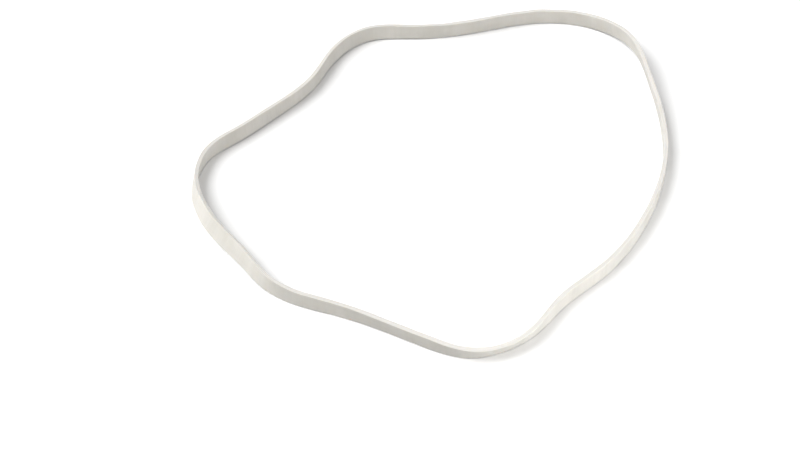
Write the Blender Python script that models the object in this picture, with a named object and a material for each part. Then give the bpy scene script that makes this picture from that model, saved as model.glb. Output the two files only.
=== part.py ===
"""A large flat rubber band, lying as it comes to rest on a table.

The band is one closed loop of flat strip, a ring cut from a rubber tube. It stands on its
cut edge and follows a loose, wavy ring. Where the loop turns or was twisted, the strip leans.
"""

import math

import bpy
import numpy as np

# Driving dimensions, in metres
STRIP_WIDTH = 0.006
STRIP_THICKNESS = 0.0016
FLAT_LENGTH = 0.300
CORNER_RADIUS = 0.00015

# How finely the loop is divided: sections along it, and steps in each rounded corner
SECTIONS = 300
CORNER_STEPS = 2
CURVE_STEPS = 60

# The route of the strip's middle seen from above, as proportions. It is scaled to the band's length.
ROUTE = (
    (-75.5, 19.5),
    (-83, 11.5),
    (-87, 1),
    (-87.5, -11),
    (-84, -25.5),
    (-76.5, -40),
    (-67, -52),
    (-57.5, -65),
    (-48, -72),
    (-33.5, -78),
    (-17.5, -86),
    (-2.5, -94.5),
    (12, -100),
    (23.5, -97.5),
    (33.5, -90),
    (45, -74),
    (59, -59.5),
    (76, -34),
    (88, 0),
    (90.5, 31),
    (87.5, 58),
    (81.5, 84),
    (67, 99),
    (43.5, 102),
    (19, 95),
    (-5, 91),
    (-24, 89.5),
    (-38, 75),
    (-47, 54),
    (-61, 35.5),
)

# Leans of the strip from upright: share of the way round, degrees towards the inside, share that it reaches
LEANS = (
    (0.06, 10, 0.06),
    (0.115, 31, 0.075),
    (0.255, -12, 0.075),
    (0.315, -27, 0.05),
    (0.62, 10, 0.09),
    (0.86, -9, 0.08),
    (0.99, -6, 0.05),
)

# Places where the strip arches off the table: share of the way round, height in metres, share that it reaches
ARCHES = (
    (0.10, 0.0022, 0.06),
    (0.63, 0.0030, 0.08),
)

RUBBER_COLOUR = (0.785, 0.76, 0.703, 1.0)
RUBBER_ROUGHNESS = 0.62

# Faces that meet at more than this angle, in degrees, keep a crisp edge in shading
CRISP_ANGLE = 40


def clear_scene():
    for obj in list(bpy.data.objects):
        bpy.data.objects.remove(obj, do_unlink=True)


def smooth_loop(points, steps):
    """A closed curve through the points with no jump in slope or bend, as short straight steps."""
    points = np.array(points, dtype=float)
    following = np.roll(points, -1, axis=0)
    span = np.linalg.norm(following - points, axis=1)
    slope = (following - points) / span[:, None]
    count = len(points)
    system = np.zeros((count, count))
    for i in range(count):
        system[i, i - 1] = span[i - 1]
        system[i, i] = 2 * (span[i - 1] + span[i])
        system[i, (i + 1) % count] = span[i]
    bend = np.linalg.solve(system, 6 * (slope - np.roll(slope, 1, axis=0)))
    pieces = []
    for i in range(count):
        far = np.linspace(0, 1, steps, endpoint=False)[:, None]
        near = 1 - far
        straight = near * points[i] + far * following[i]
        bowed = (near**3 - near) * bend[i] + (far**3 - far) * bend[(i + 1) % count]
        pieces.append(straight + bowed * span[i] ** 2 / 6)
    return np.vstack(pieces)


def distances_round(loop):
    """How far round a closed loop each of its points lies, with the whole length last."""
    steps = np.linalg.norm(np.roll(loop, -1, axis=0) - loop, axis=1)
    return np.concatenate(([0.0], np.cumsum(steps)))


def even_points(loop, count):
    """Points at equal distances round a closed loop."""
    along = distances_round(loop)
    closed = np.vstack((loop, loop[:1]))
    wanted = np.linspace(0, along[-1], count, endpoint=False)
    return np.column_stack([np.interp(wanted, along, closed[:, axis]) for axis in (0, 1)])


def swell(share, centre, reach):
    """1 at the centre, falling smoothly to 0 at the reach on both sides, and 0 beyond it."""
    away = abs((share - centre + 0.5) % 1.0 - 0.5)
    if away >= reach:
        return 0.0
    return math.cos(0.5 * math.pi * away / reach) ** 2


def lean_at(share):
    return sum(math.radians(degrees) * swell(share, centre, reach) for centre, degrees, reach in LEANS)


def arch_at(share):
    return sum(height * swell(share, centre, reach) for centre, height, reach in ARCHES)


def middle_height(lean, arch):
    """Height of the section's middle with its lowest corner at the given height over the table."""
    upright = (STRIP_WIDTH / 2 - CORNER_RADIUS) * math.cos(lean)
    sideways = (STRIP_THICKNESS / 2 - CORNER_RADIUS) * abs(math.sin(lean))
    return upright + sideways + CORNER_RADIUS + arch


def make_section():
    """The strip's cross-section, a rectangle with rounded corners: thickness along X, width along Y."""
    outline = []
    for quarter, (side_x, side_y) in enumerate(((1, 1), (-1, 1), (-1, -1), (1, -1))):
        for step in range(CORNER_STEPS + 1):
            angle = 0.5 * math.pi * (quarter + step / CORNER_STEPS)
            x = side_x * (STRIP_THICKNESS / 2 - CORNER_RADIUS) + CORNER_RADIUS * math.cos(angle)
            y = side_y * (STRIP_WIDTH / 2 - CORNER_RADIUS) + CORNER_RADIUS * math.sin(angle)
            outline.append((x, y))
    curve = bpy.data.curves.new("strip_section", "CURVE")
    curve.dimensions = "2D"
    spline = curve.splines.new("POLY")
    spline.points.add(len(outline) - 1)
    # Taken clockwise, so that the faces of the sweep point outwards
    for point, (x, y) in zip(spline.points, reversed(outline)):
        point.co = (x, y, 0, 1)
    spline.use_cyclic_u = True
    section = bpy.data.objects.new("strip_section", curve)
    section.hide_render = True
    section.display_type = "WIRE"
    return section


def make_route():
    """The closed path of the strip's middle, each point tilted by the strip's lean there."""
    loop = smooth_loop(ROUTE, CURVE_STEPS)
    loop *= 2 * FLAT_LENGTH / distances_round(loop)[-1]
    plan = even_points(loop, SECTIONS)
    curve = bpy.data.curves.new("strip_route", "CURVE")
    curve.dimensions = "3D"
    curve.twist_mode = "Z_UP"
    spline = curve.splines.new("POLY")
    spline.points.add(SECTIONS - 1)
    for number, (point, (x, y)) in enumerate(zip(spline.points, plan)):
        share = number / SECTIONS
        lean = lean_at(share)
        point.co = (x, y, middle_height(lean, arch_at(share)), 1)
        point.tilt = -lean
    spline.use_cyclic_u = True
    return bpy.data.objects.new("strip_route", curve)


def swept_mesh(route, section, name):
    """The section swept round the route, as a mesh with crisp edges and smooth faces."""
    route.data.bevel_mode = "OBJECT"
    route.data.bevel_object = section
    bpy.context.view_layer.update()
    evaluated = route.evaluated_get(bpy.context.evaluated_depsgraph_get())
    mesh = bpy.data.meshes.new_from_object(evaluated)
    mesh.name = name
    mesh.shade_smooth()
    mesh.set_sharp_from_angle(angle=math.radians(CRISP_ANGLE))
    return mesh


def stand_on_origin(obj):
    """Moves the object so that the origin is under its middle, at table height."""
    corners = np.array([corner[:] for corner in obj.bound_box])
    low, high = corners.min(axis=0), corners.max(axis=0)
    obj.location = (-(low[0] + high[0]) / 2, -(low[1] + high[1]) / 2, -low[2])


def make_rubber():
    material = bpy.data.materials.new("natural_white_rubber")
    material.use_nodes = True
    shader = material.node_tree.nodes["Principled BSDF"]
    shader.inputs["Base Color"].default_value = RUBBER_COLOUR
    shader.inputs["Roughness"].default_value = RUBBER_ROUGHNESS
    shader.inputs["Metallic"].default_value = 0.0
    return material


def make_rubber_band(parts, helpers):
    section = make_section()
    route = make_route()
    helpers.objects.link(section)
    helpers.objects.link(route)
    mesh = swept_mesh(route, section, "rubber_band")
    bpy.data.objects.remove(route, do_unlink=True)
    band = bpy.data.objects.new("rubber_band", mesh)
    parts.objects.link(band)
    band.data.materials.clear()
    band.data.materials.append(make_rubber())
    stand_on_origin(band)
    return band


def main():
    clear_scene()
    parts = bpy.data.collections.new("rubber_band")
    helpers = bpy.data.collections.new("helpers")
    bpy.context.scene.collection.children.link(parts)
    bpy.context.scene.collection.children.link(helpers)
    make_rubber_band(parts, helpers)


main()
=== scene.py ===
"""The looks of a large flat rubber band: its cut strip, its matte rubber and a plain pale studio.

The strip follows the same route as the solid that it replaces. It adds what the solid leaves out:
a width and a thickness that wander, ragged cut edges, and faint lines across the moulded faces.
"""

import math

import bmesh
import bpy
import numpy as np
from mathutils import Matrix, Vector


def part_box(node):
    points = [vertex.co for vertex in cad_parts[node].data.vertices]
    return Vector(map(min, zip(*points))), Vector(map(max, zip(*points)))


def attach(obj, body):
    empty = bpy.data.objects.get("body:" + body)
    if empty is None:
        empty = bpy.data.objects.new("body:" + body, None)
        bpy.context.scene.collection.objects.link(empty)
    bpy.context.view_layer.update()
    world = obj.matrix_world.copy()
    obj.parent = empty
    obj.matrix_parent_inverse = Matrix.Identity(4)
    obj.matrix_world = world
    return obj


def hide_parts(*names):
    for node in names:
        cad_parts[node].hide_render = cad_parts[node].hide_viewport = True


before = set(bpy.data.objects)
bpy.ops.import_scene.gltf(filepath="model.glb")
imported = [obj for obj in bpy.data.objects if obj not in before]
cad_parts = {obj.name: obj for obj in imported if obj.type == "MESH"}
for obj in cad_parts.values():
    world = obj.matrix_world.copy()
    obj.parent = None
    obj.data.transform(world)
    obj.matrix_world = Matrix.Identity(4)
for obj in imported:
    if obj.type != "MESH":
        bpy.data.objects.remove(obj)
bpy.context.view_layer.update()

# The band's sizes in metres, and its route, leans and arches, as in the part's own source
STRIP_WIDTH = 0.006
STRIP_THICKNESS = 0.0016
FLAT_LENGTH = 0.300
CORNER_RADIUS = 0.00015
CURVE_STEPS = 60

# The route of the strip's middle seen from above, as proportions. It is scaled to the band's length.
ROUTE = (
    (-75.5, 19.5),
    (-83, 11.5),
    (-87, 1),
    (-87.5, -11),
    (-84, -25.5),
    (-76.5, -40),
    (-67, -52),
    (-57.5, -65),
    (-48, -72),
    (-33.5, -78),
    (-17.5, -86),
    (-2.5, -94.5),
    (12, -100),
    (23.5, -97.5),
    (33.5, -90),
    (45, -74),
    (59, -59.5),
    (76, -34),
    (88, 0),
    (90.5, 31),
    (87.5, 58),
    (81.5, 84),
    (67, 99),
    (43.5, 102),
    (19, 95),
    (-5, 91),
    (-24, 89.5),
    (-38, 75),
    (-47, 54),
    (-61, 35.5),
)

# Leans of the strip from upright: share of the way round, degrees towards the inside, share that it reaches
LEANS = (
    (0.06, 10, 0.06),
    (0.115, 31, 0.075),
    (0.255, -12, 0.075),
    (0.315, -27, 0.05),
    (0.62, 10, 0.09),
    (0.86, -9, 0.08),
    (0.99, -6, 0.05),
)

# Places where the strip arches off the table: share of the way round, height in metres, share that it reaches
ARCHES = (
    (0.10, 0.0022, 0.06),
    (0.63, 0.0030, 0.08),
)

# The bake map: the strip unrolled in rows, with a gap between them as a share of a row
MAP_ROWS = 6
MAP_GAP = 0.04

# How finely the strip is made: sections round the loop, steps in a corner, and points along each flat side
SECTIONS_IN_ROW = 416
SECTIONS = SECTIONS_IN_ROW * MAP_ROWS
CORNER_STEPS = 3
CUT_PLACES = (0.08, 0.5, 0.92)
FACE_PLACES = (0.02, 0.14, 0.28, 0.43, 0.57, 0.72, 0.86, 0.98)

# How far the strip's four corners wander from true, in metres: shortest wave, longest wave, usual size
WIDTH_DRIFT = (0.012, 0.080, 0.000045)
THICKNESS_DRIFT = (0.010, 0.070, 0.000022)
KNIFE_RAGS = (0.0008, 0.0060, 0.000014)
FACE_LINES = (0.0009, 0.0045, 0.000006)
# Number of waves in each wander
WAVES = 40
# Seeds of the wanders, to which each side or corner of the strip adds its own small number
FACE_LINES_SEED = 10
THICKNESS_SEED = 20
KNIFE_SEED = 40
WIDTH_SEED = 60

# Rubber: the lightest and the darkest tone of its moulded faces and of its knife-cut edges
FACE_LIGHT = (0.835, 0.809, 0.755, 1.0)
FACE_SHADE = (0.735, 0.711, 0.651, 1.0)
CUT_LIGHT = (0.812, 0.791, 0.754, 1.0)
CUT_SHADE = (0.738, 0.716, 0.672, 1.0)
# How fine its patterns are, as swells to a metre
CLOUD_SCALE = 110
DUST_SCALE = 420
LINE_SCALE = 700
KNIFE_SCALE = 2600
GRAIN_SCALE = 2600
# How many finer layers a pattern has, and how strong each is beside the one before
PLAIN_DETAIL = 2
CLOUD_DETAIL = 3
DUST_DETAIL = 4
GRAIN_DETAIL = 3
PLAIN_FADE = 0.5
POWDER_FADE = 0.6
# Part that broad clouding has in a face's tone, the rest being lines across the strip
CLOUD_SHARE = 0.75
# How slowly those lines change across the strip, and the knife's marks along it, beside the other way
LINE_STRETCH = 0.04
KNIFE_DRIFT = 0.02
# The middle of a noise, which is stretched to the whole range
NOISE_LOW = 0.3
NOISE_HIGH = 0.7
# How rough the surface is where it is cleanest and where it is dustiest
ROUGHNESS_CLEAN = 0.56
ROUGHNESS_DUSTY = 0.72
# The grain's height in metres, how strongly it shows, and the knife's marks as a share of it
GRAIN_HEIGHT = 0.00002
GRAIN_STRENGTH = 0.5
KNIFE_SHARE = 0.8
# What is the same all over: weak gloss, light that sinks in by about 0.7 mm, and a faint powdery sheen
RUBBER_CONSTANTS = {
    "Metallic": 0.0,
    "Specular IOR Level": 0.35,
    "Subsurface Weight": 0.6,
    "Subsurface Radius": (1.0, 0.9, 0.75),
    "Subsurface Scale": 0.0007,
    "Sheen Weight": 0.08,
    "Sheen Roughness": 0.6,
}

# Far lights: how bright each makes a white face turned to it, where it stands and how wide it is, in degrees
FAR_LIGHTS = (
    ("window_light", 0.91, -90, 50, 50),
    ("back_light", 0.09, 150, 25, 50),
)
# Where their lamps stand, in metres. It changes nothing, as their light is the same everywhere.
FAR_LIGHT_DISTANCE = 1.0
# A round softbox close by: its level at the origin, where it stands, its distance and its width in metres
SOFTBOX_LEVEL = 0.48
SOFTBOX_AZIMUTH = 45
SOFTBOX_ELEVATION = 10
SOFTBOX_DISTANCE = 0.387
SOFTBOX_WIDTH = 0.12
# The weak light from all round
AMBIENT_LEVEL = 0.23
# The floor: its tone for the light that it throws back, its tone where it is seen, which is over 1 so that
# it reads as white, and its side in metres
FLOOR_BOUNCE = 0.48
FLOOR_WHITE = 1.16
FLOOR_SIZE = 8.0

# The camera, as the photograph was taken: its lens in millimetres, degrees above the table, then metres
CAMERA_LENS = 85
CAMERA_ELEVATION = 40
CAMERA_DISTANCE = 0.692
CAMERA_TARGET = (-0.0127, -0.0340, 0.003)
CAMERA_NEAR_LIMIT = 0.01

# What every light is turned to
ORIGIN = (0, 0, 0)


def smooth_loop(points, steps):
    """A closed curve through the points with no jump in slope or bend, as short straight steps."""
    points = np.array(points, dtype=float)
    following = np.roll(points, -1, axis=0)
    span = np.linalg.norm(following - points, axis=1)
    slope = (following - points) / span[:, None]
    count = len(points)
    system = np.zeros((count, count))
    for i in range(count):
        system[i, i - 1] = span[i - 1]
        system[i, i] = 2 * (span[i - 1] + span[i])
        system[i, (i + 1) % count] = span[i]
    bend = np.linalg.solve(system, 6 * (slope - np.roll(slope, 1, axis=0)))
    pieces = []
    for i in range(count):
        far = np.linspace(0, 1, steps, endpoint=False)[:, None]
        near = 1 - far
        straight = near * points[i] + far * following[i]
        bowed = (near**3 - near) * bend[i] + (far**3 - far) * bend[(i + 1) % count]
        pieces.append(straight + bowed * span[i] ** 2 / 6)
    return np.vstack(pieces)


def distances_round(loop):
    """How far round a closed loop each of its points lies, with the whole length last."""
    steps = np.linalg.norm(np.roll(loop, -1, axis=0) - loop, axis=1)
    return np.concatenate(([0.0], np.cumsum(steps)))


def even_points(loop, count):
    """Points at equal distances round a closed loop."""
    along = distances_round(loop)
    closed = np.vstack((loop, loop[:1]))
    wanted = np.linspace(0, along[-1], count, endpoint=False)
    return np.column_stack([np.interp(wanted, along, closed[:, axis]) for axis in (0, 1)])


def swells(shares, rows):
    """The sum of smooth bumps round the loop, each given as its centre, its height and its reach."""
    total = np.zeros_like(shares)
    for centre, height, reach in rows:
        away = np.abs((shares - centre + 0.5) % 1.0 - 0.5)
        bump = np.cos(0.5 * math.pi * away / reach) ** 2
        total += np.where(away < reach, height * bump, 0.0)
    return total


def unit(vectors):
    return vectors / np.linalg.norm(vectors, axis=1)[:, None]


def wander(wave_range, seed):
    """A smooth random wander round the closed loop, made of waves between two lengths."""
    shortest, longest, size = wave_range
    dice = np.random.default_rng(seed)
    fewest = round(2 * FLAT_LENGTH / longest)
    most = round(2 * FLAT_LENGTH / shortest)
    counts = dice.integers(fewest, most + 1, WAVES)[:, None]
    starts = dice.uniform(0, 2 * math.pi, WAVES)[:, None]
    shares = np.arange(SECTIONS) / SECTIONS
    waves = np.cos(2 * math.pi * counts * shares + starts)
    return size * waves.sum(axis=0) / math.sqrt(WAVES / 2)


def section_ring():
    """Points round the section, each with its place on a square from -1 to 1 and the way it faces."""
    corners = ((1, 1), (-1, 1), (-1, -1), (1, -1))
    ring = []
    for number, (u, v) in enumerate(corners):
        next_u, next_v = corners[(number + 1) % 4]
        for step in range(CORNER_STEPS + 1):
            angle = 0.5 * math.pi * (number + step / CORNER_STEPS)
            ring.append((u, v, math.cos(angle), math.sin(angle)))
        # The flat side after a corner faces the way that the corner ends. Every other side is a cut edge.
        for place in FACE_PLACES if number % 2 else CUT_PLACES:
            flat_u = u + (next_u - u) * place
            flat_v = v + (next_v - v) * place
            ring.append((flat_u, flat_v, math.cos(angle), math.sin(angle)))
    return np.array(ring).T


def corner_wanders(u, v):
    """How far each point of every section strays: towards the loop's inside, and up the strip's width."""
    inward = np.zeros((SECTIONS, len(u)))
    upward = np.zeros((SECTIONS, len(u)))
    for side in (-1, 1):
        lines = wander(FACE_LINES, FACE_LINES_SEED + side)
        for end in (-1, 1):
            # A small number of each corner's own: -4, -2, 2 or 4
            corner = 3 * side + end
            share = (1 + side * u) * (1 + end * v) / 4
            inward += np.outer(lines + wander(THICKNESS_DRIFT, THICKNESS_SEED + corner), share)
            rags = wander(KNIFE_RAGS, KNIFE_SEED + corner)
            upward += np.outer(rags + wander(WIDTH_DRIFT, WIDTH_SEED + corner), share)
    return inward, upward


def strip_axes():
    """The middle of each section, its way towards the loop's inside, and its way up the strip's width."""
    loop = smooth_loop(ROUTE, CURVE_STEPS)
    loop *= 2 * FLAT_LENGTH / distances_round(loop)[-1]
    shares = np.arange(SECTIONS) / SECTIONS
    lean = np.radians(swells(shares, LEANS))
    upright = (STRIP_WIDTH / 2 - CORNER_RADIUS) * np.cos(lean)
    sideways = (STRIP_THICKNESS / 2 - CORNER_RADIUS) * np.abs(np.sin(lean))
    height = upright + sideways + CORNER_RADIUS + swells(shares, ARCHES)
    middle = np.column_stack((even_points(loop, SECTIONS), height))
    ahead = unit(np.roll(middle, -1, axis=0) - np.roll(middle, 1, axis=0))
    level = unit(np.column_stack((-ahead[:, 1], ahead[:, 0], np.zeros(SECTIONS))))
    up = np.cross(ahead, level)
    cosine = np.cos(lean)[:, None]
    sine = np.sin(lean)[:, None]
    return middle, level * cosine - up * sine, up * cosine + level * sine


def strip_points(u, v, x, y):
    """Every point of the strip, section by section, standing where the solid stands."""
    inward, upward = corner_wanders(u, v)
    middle, inside, up = strip_axes()
    points = (
        middle[:, None, :]
        + inside[:, None, :] * (x + inward)[:, :, None]
        + up[:, None, :] * (y + upward)[:, :, None]
    ).reshape(-1, 3)
    low, high = (np.array(corner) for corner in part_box("rubber_band"))
    points[:, :2] += ((low + high) / 2 - (points.min(axis=0) + points.max(axis=0)) / 2)[:2]
    points[:, 2] += low[2] - points[:, 2].min()
    return points


def strip_faces(around):
    """One face between each pair of neighbouring sections and of neighbouring points round them."""
    section = np.repeat(np.arange(SECTIONS), around)
    point = np.tile(np.arange(around), SECTIONS)
    next_section = (section + 1) % SECTIONS
    next_point = (point + 1) % around
    here = section * around
    there = next_section * around
    return np.column_stack((here + point, here + next_point, there + next_point, there + point))


def add_bake_map(mesh, x, y):
    """Unrolls the strip into rows, so that a baked texture has even detail all over it."""
    around = len(x)
    edges = np.hypot(np.roll(x, -1) - x, np.roll(y, -1) - y)
    across = np.concatenate(([0.0], np.cumsum(edges))) / edges.sum()
    section = np.repeat(np.arange(SECTIONS), around)
    point = np.tile(np.arange(around), SECTIONS)
    row, place = np.divmod(section, SECTIONS_IN_ROW)
    left = place / SECTIONS_IN_ROW
    right = (place + 1) / SECTIONS_IN_ROW
    low = (row + across[point] * (1 - MAP_GAP)) / MAP_ROWS
    high = (row + across[point + 1] * (1 - MAP_GAP)) / MAP_ROWS
    corners = np.stack((left, low, left, high, right, high, right, low), axis=1)
    layer = mesh.uv_layers.new(name="OFBake")
    layer.uv.foreach_set("vector", corners.astype(np.float32).ravel())


def add_point_values(mesh, name, kind, field, values):
    attribute = mesh.attributes.new(name, kind, "POINT")
    attribute.data.foreach_set(field, values.astype(np.float32).ravel())


def add_places(mesh, x, y, facing_y):
    """Where each point lay on the tube that the band was cut from and on its section, and the cut edges."""
    shape = (SECTIONS, len(x))
    turn = 2 * math.pi * np.arange(SECTIONS)[:, None] / SECTIONS
    radius = FLAT_LENGTH / math.pi - x
    across = np.broadcast_to(x, shape)
    upward = np.broadcast_to(y, shape)
    tube = np.stack((radius * np.cos(turn), radius * np.sin(turn), upward), axis=2)
    section = np.stack((across, upward, np.zeros(shape)), axis=2)
    add_point_values(mesh, "tube_place", "FLOAT_VECTOR", "vector", tube)
    add_point_values(mesh, "section_place", "FLOAT_VECTOR", "vector", section)
    add_point_values(mesh, "cut_edge", "FLOAT", "value", np.broadcast_to(facing_y**2, shape))


def make_strip():
    """The band as one closed strip."""
    u, v, facing_x, facing_y = section_ring()
    # In the section, x runs towards the inside of the loop and y up the strip's width
    x = u * (STRIP_THICKNESS / 2 - CORNER_RADIUS) + facing_x * CORNER_RADIUS
    y = v * (STRIP_WIDTH / 2 - CORNER_RADIUS) + facing_y * CORNER_RADIUS
    mesh = bpy.data.meshes.new("band_strip")
    mesh.from_pydata(strip_points(u, v, x, y).tolist(), [], strip_faces(len(u)).tolist())
    mesh.shade_smooth()
    add_bake_map(mesh, x, y)
    add_places(mesh, x, y, facing_y)
    strip = bpy.data.objects.new("band_strip", mesh)
    bpy.context.scene.collection.objects.link(strip)
    return strip


class Nodes:
    """Short calls for the few kinds of node that the materials use."""

    def __init__(self, tree):
        self.tree = tree

    def add(self, kind, **settings):
        node = self.tree.nodes.new(kind)
        for name, value in settings.items():
            setattr(node, name, value)
        return node

    def plug(self, source, socket):
        """Links a node's output to a socket, or sets the socket to a plain value."""
        if isinstance(source, bpy.types.NodeSocket):
            self.tree.links.new(source, socket)
        else:
            socket.default_value = source

    def attribute(self, name, output):
        return self.add("ShaderNodeAttribute", attribute_name=name).outputs[output]

    def noise(self, place, scale, detail=PLAIN_DETAIL, fade=PLAIN_FADE):
        node = self.add("ShaderNodeTexNoise")
        self.plug(place, node.inputs["Vector"])
        node.inputs["Scale"].default_value = scale
        node.inputs["Detail"].default_value = detail
        node.inputs["Roughness"].default_value = fade
        return node.outputs["Fac"]

    def scaled(self, place, scale):
        node = self.add("ShaderNodeVectorMath", operation="MULTIPLY")
        self.plug(place, node.inputs[0])
        node.inputs[1].default_value = scale
        return node.outputs["Vector"]

    def summed(self, first, second):
        node = self.add("ShaderNodeVectorMath", operation="ADD")
        self.plug(first, node.inputs[0])
        self.plug(second, node.inputs[1])
        return node.outputs["Vector"]

    def math(self, operation, first, second):
        node = self.add("ShaderNodeMath", operation=operation)
        self.plug(first, node.inputs[0])
        self.plug(second, node.inputs[1])
        return node.outputs["Value"]

    def fitted(self, value, low, high, new_low=0.0, new_high=1.0):
        """A value's range stretched to a new one, and cut off there."""
        node = self.add("ShaderNodeMapRange")
        self.plug(value, node.inputs["Value"])
        node.inputs["From Min"].default_value = low
        node.inputs["From Max"].default_value = high
        node.inputs["To Min"].default_value = new_low
        node.inputs["To Max"].default_value = new_high
        return node.outputs["Result"]

    def mixed(self, share, first, second):
        """The first colour where the share is 0, and the second where it is 1."""
        node = self.add("ShaderNodeMix", data_type="RGBA")
        sockets = {socket.identifier: socket for socket in (*node.inputs, *node.outputs)}
        self.plug(share, sockets["Factor_Float"])
        self.plug(first, sockets["A_Color"])
        self.plug(second, sockets["B_Color"])
        return sockets["Result_Color"]


def make_rubber():
    """Matte off-white rubber: faintly mottled faces with lines across, and cut edges with lines along."""
    material = bpy.data.materials.new("natural_white_rubber")
    material.use_nodes = True
    nodes = Nodes(material.node_tree)
    shader = material.node_tree.nodes["Principled BSDF"]
    tube = nodes.attribute("tube_place", "Vector")
    section = nodes.attribute("section_place", "Vector")
    cut = nodes.attribute("cut_edge", "Fac")

    # Faces: broad clouding, and lines that ran along the tube and so cross the strip
    cloud = nodes.fitted(nodes.noise(tube, CLOUD_SCALE, CLOUD_DETAIL), NOISE_LOW, NOISE_HIGH)
    line_place = nodes.scaled(tube, (1, 1, LINE_STRETCH))
    lines = nodes.fitted(nodes.noise(line_place, LINE_SCALE), NOISE_LOW, NOISE_HIGH)
    cloud_part = nodes.math("MULTIPLY", cloud, CLOUD_SHARE)
    line_part = nodes.math("MULTIPLY", lines, 1 - CLOUD_SHARE)
    face_tone = nodes.math("ADD", cloud_part, line_part)
    face_colour = nodes.mixed(face_tone, FACE_SHADE, FACE_LIGHT)

    # Cut edges: the knife's marks run along the strip and drift slowly
    knife_place = nodes.summed(section, nodes.scaled(tube, (KNIFE_DRIFT, KNIFE_DRIFT, KNIFE_DRIFT)))
    knife = nodes.fitted(nodes.noise(knife_place, KNIFE_SCALE), NOISE_LOW, NOISE_HIGH)
    cut_colour = nodes.mixed(knife, CUT_SHADE, CUT_LIGHT)
    nodes.plug(nodes.mixed(cut, face_colour, cut_colour), shader.inputs["Base Color"])

    # Dust in the surface makes it more matte in places
    dust = nodes.noise(tube, DUST_SCALE, DUST_DETAIL, POWDER_FADE)
    dullness = nodes.fitted(dust, NOISE_LOW, NOISE_HIGH, ROUGHNESS_CLEAN, ROUGHNESS_DUSTY)
    nodes.plug(dullness, shader.inputs["Roughness"])

    # A fine grain all over, with the knife's marks on the cut edges only
    grain = nodes.noise(tube, GRAIN_SCALE, GRAIN_DETAIL, POWDER_FADE)
    marks = nodes.math("MULTIPLY", nodes.math("MULTIPLY", knife, cut), KNIFE_SHARE)
    bump = nodes.add("ShaderNodeBump")
    bump.inputs["Strength"].default_value = GRAIN_STRENGTH
    bump.inputs["Distance"].default_value = GRAIN_HEIGHT
    nodes.plug(nodes.math("ADD", grain, marks), bump.inputs["Height"])
    nodes.plug(bump.outputs["Normal"], shader.inputs["Normal"])

    for name, value in RUBBER_CONSTANTS.items():
        shader.inputs[name].default_value = value
    return material


def grey(level):
    return (level, level, level, 1)


def seen_ray(nodes):
    """1 for the rays that see the studio: straight from the camera, in a gloss, or through glass."""
    path = nodes.add("ShaderNodeLightPath").outputs
    seen = nodes.math("MAXIMUM", path["Is Camera Ray"], path["Is Glossy Ray"])
    return nodes.math("MAXIMUM", seen, path["Is Transmission Ray"])


def make_floor_paint():
    """White where the floor is seen, and a mid grey for the light that it throws back."""
    material = bpy.data.materials.new("studio_floor")
    material.use_nodes = True
    material.node_tree.nodes.clear()
    nodes = Nodes(material.node_tree)
    white = nodes.add("ShaderNodeBsdfDiffuse")
    bounce = nodes.add("ShaderNodeBsdfDiffuse")
    white.inputs["Color"].default_value = grey(FLOOR_WHITE)
    bounce.inputs["Color"].default_value = grey(FLOOR_BOUNCE)
    mix = nodes.add("ShaderNodeMixShader")
    nodes.plug(seen_ray(nodes), mix.inputs["Fac"])
    nodes.plug(bounce.outputs["BSDF"], mix.inputs[1])
    nodes.plug(white.outputs["BSDF"], mix.inputs[2])
    output = nodes.add("ShaderNodeOutputMaterial")
    nodes.plug(mix.outputs["Shader"], output.inputs["Surface"])
    return material


def make_floor():
    """A plain floor that looks white and keeps the band's shadow."""
    form = bmesh.new()
    bmesh.ops.create_grid(form, x_segments=1, y_segments=1, size=FLOOR_SIZE / 2)
    mesh = bpy.data.meshes.new("floor")
    form.to_mesh(mesh)
    form.free()
    mesh.materials.append(make_floor_paint())
    floor = bpy.data.objects.new("floor", mesh)
    bpy.context.scene.collection.objects.link(floor)


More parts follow.
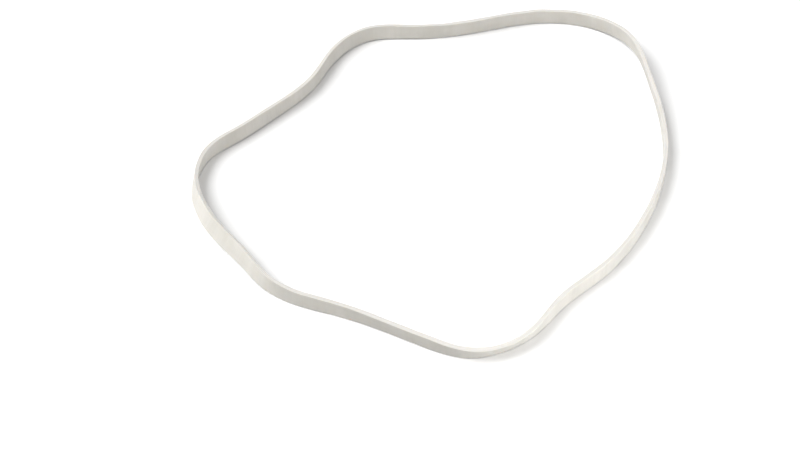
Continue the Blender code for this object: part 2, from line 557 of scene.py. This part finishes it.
def make_world():
    """White where it is seen, and a weak even light on everything else."""
    world = bpy.data.worlds.new("studio_world")
    world.use_nodes = True
    bpy.context.scene.world = world
    nodes = Nodes(world.node_tree)
    background = world.node_tree.nodes["Background"]
    background.inputs["Color"].default_value = grey(1)
    strength = nodes.fitted(seen_ray(nodes), 0, 1, AMBIENT_LEVEL, 1)
    nodes.plug(strength, background.inputs["Strength"])


def direction(azimuth, elevation):
    """The way from the band towards a place in the studio. Azimuth 0 is the camera's side."""
    across = math.radians(azimuth)
    above = math.radians(elevation)
    return Vector((math.sin(across) * math.cos(above), -math.cos(across) * math.cos(above), math.sin(above)))


def stand_round(obj, target, azimuth, elevation, distance):
    """Puts a lamp or the camera into the studio, turned towards its target."""
    back = direction(azimuth, elevation)
    obj.location = Vector(target) + back * distance
    obj.rotation_euler = back.to_track_quat("Z", "Y").to_euler()
    bpy.context.scene.collection.objects.link(obj)


def place_light(lamp, azimuth, elevation, distance):
    light = bpy.data.objects.new(lamp.name, lamp)
    light.visible_camera = False
    stand_round(light, ORIGIN, azimuth, elevation, distance)


def make_lights():
    """Each light's strength is worked out from the tone that it alone gives a white face turned to it."""
    for name, level, azimuth, elevation, spread in FAR_LIGHTS:
        lamp = bpy.data.lights.new(name, "SUN")
        lamp.energy = level * math.pi
        lamp.angle = math.radians(spread)
        place_light(lamp, azimuth, elevation, FAR_LIGHT_DISTANCE)
    lamp = bpy.data.lights.new("softbox", "AREA")
    lamp.shape = "DISK"
    lamp.size = SOFTBOX_WIDTH
    lamp.energy = SOFTBOX_LEVEL * (math.pi * SOFTBOX_DISTANCE) ** 2
    place_light(lamp, SOFTBOX_AZIMUTH, SOFTBOX_ELEVATION, SOFTBOX_DISTANCE)


def make_camera():
    camera_data = bpy.data.cameras.new("photo_camera")
    camera_data.lens = CAMERA_LENS
    camera_data.clip_start = CAMERA_NEAR_LIMIT
    camera = bpy.data.objects.new("photo_camera", camera_data)
    stand_round(camera, CAMERA_TARGET, 0, CAMERA_ELEVATION, CAMERA_DISTANCE)
    bpy.context.scene.camera = camera


bpy.context.scene.view_settings.view_transform = "Standard"
make_camera()
band = make_strip()
band.data.materials.append(make_rubber())
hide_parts("rubber_band")
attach(band, "root")
make_floor()
make_world()
make_lights()
